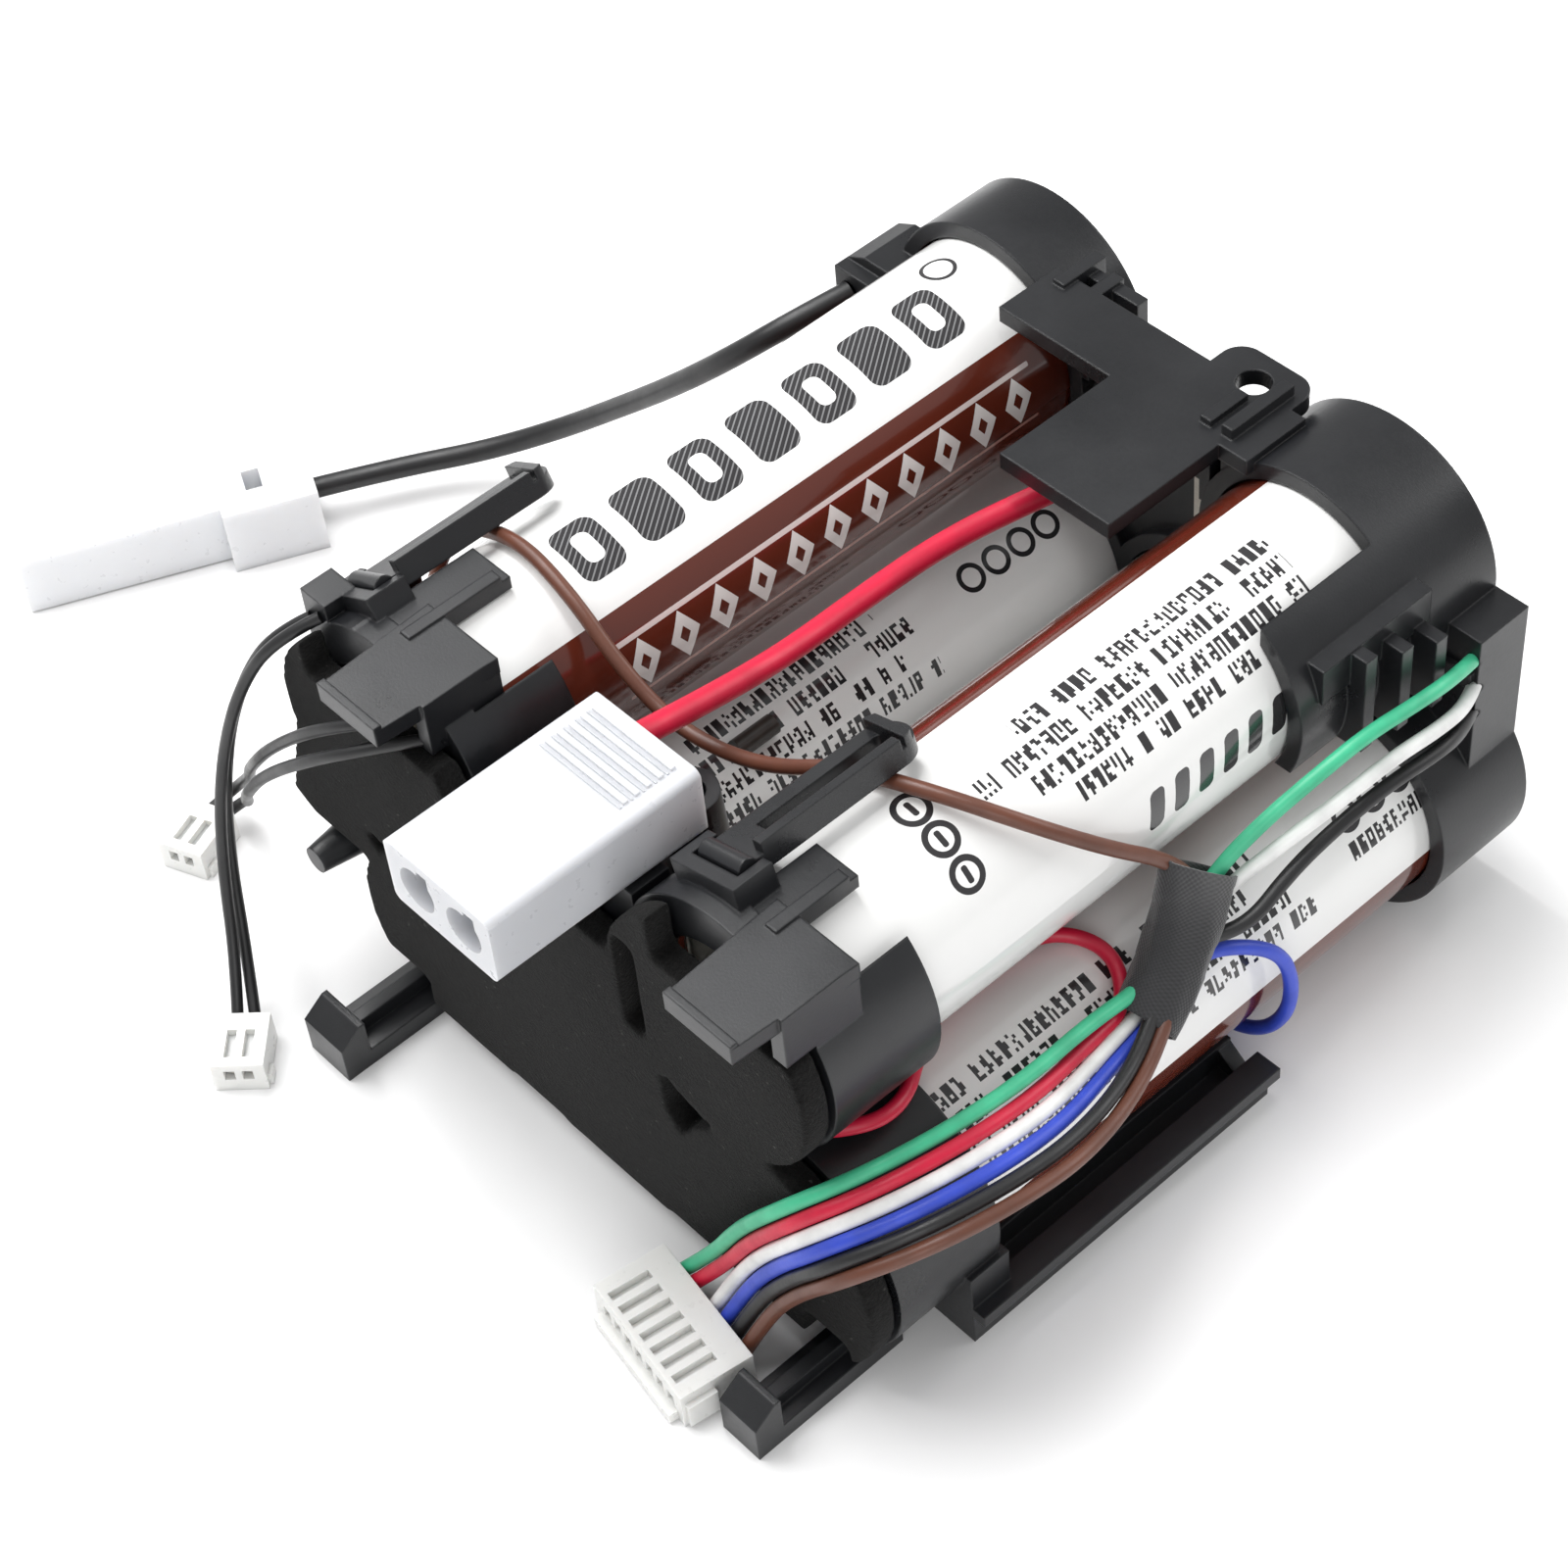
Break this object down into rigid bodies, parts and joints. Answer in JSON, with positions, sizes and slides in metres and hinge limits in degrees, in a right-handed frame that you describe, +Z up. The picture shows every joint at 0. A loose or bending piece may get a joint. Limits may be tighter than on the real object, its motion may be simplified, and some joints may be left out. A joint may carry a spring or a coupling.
{
  "type": "battery pack",
  "caption": "Battery pack of round cells in glossy shrink sleeves, held between two black moulded end holders, with snap latches, balance harness and power leads.",
  "frame": {"origin": "bottom centre of the pack without its loose leads", "axes": "+Y along the cells from the foam-covered near end to the far end, +X to the right seen from the near end, +Z up, from the row of three cells to the row of two"},
  "size_m": [0.1288, 0.0908, 0.0441],
  "materials": {
    "holder_plastic": "moulded black, fine satin grain",
    "felt_foam": "black felted foam",
    "insulating_board": "white pressed fibre",
    "bead_resin": "dark epoxy bead",
    "nickel_strip": "bright nickel",
    "latch_plastic": "moulded black, smooth",
    "housing_nylon": "milky white nylon",
    "tinned_terminal": "tin plated",
    "cloth_tape": "black woven tape",
    "cell_can": "nickel plated drawn steel",
    "sleeve_film": "glossy shrink film, white and brown",
    "insulation_black": "smooth",
    "insulation_red": "smooth",
    "insulation_green": "smooth",
    "insulation_white": "smooth",
    "insulation_blue": "smooth",
    "insulation_brown": "smooth"
  },
  "bodies": {
    "pack": {"near_holder": "holder_plastic", "far_holder": "holder_plastic", "near_foam_pad": "felt_foam", "far_foam_pads": "felt_foam", "button_rings": "insulating_board", "thermistors": "bead_resin", "positive_strip": "nickel_strip", "negative_strip": "nickel_strip", "near_strip_1_3": "nickel_strip", "near_strip_4_5": "nickel_strip", "far_strip_3_4": "nickel_strip", "far_strip_5_2": "nickel_strip", "single_pole_housing": "housing_nylon", "two_pole_housing": "housing_nylon", "seven_way_connector": "housing_nylon", "probe_plug_1": "housing_nylon", "probe_plug_2": "housing_nylon", "single_pole_contact": "tinned_terminal", "two_pole_contact": "tinned_terminal", "seven_way_terminals": "tinned_terminal", "probe_terminals": "tinned_terminal", "harness_tape": "cloth_tape", "black_lead": "insulation_black", "red_lead": "insulation_red", "sense_wire_green": "insulation_green", "sense_wire_red": "insulation_red", "sense_wire_white": "insulation_white", "sense_wire_blue": "insulation_blue", "sense_wire_black": "insulation_black", "sense_wire_brown": "insulation_brown", "probe_wire_1a": "insulation_black", "probe_wire_1b": "insulation_black", "probe_wire_2a": "insulation_black", "probe_wire_2b": "insulation_black", "cell_1": "cell_can", "sleeve_1": "sleeve_film", "cell_2": "cell_can", "sleeve_2": "sleeve_film", "cell_3": "cell_can", "sleeve_3": "sleeve_film", "cell_4": "cell_can", "sleeve_4": "sleeve_film", "cell_5": "cell_can", "sleeve_5": "sleeve_film"},
    "latch_left": {"snap_loop_left": "latch_plastic"},
    "latch_right": {"snap_loop_right": "latch_plastic"}
  },
  "joints": [
    {"name": "latch_left_flex", "type": "hinge", "parent": "pack", "child": "latch_left", "pos_m": [-0.02602, -0.0256, 0.04121], "axis": [0.8746, 0, 0.4848], "range_deg": [0, 10], "stiffness_Nm_per_rad": 0.02},
    {"name": "latch_right_flex", "type": "hinge", "parent": "pack", "child": "latch_right", "pos_m": [0.01443, -0.0256, 0.04217], "axis": [0.9563, 0, 0.2924], "range_deg": [0, 10], "stiffness_Nm_per_rad": 0.02}
  ]
}
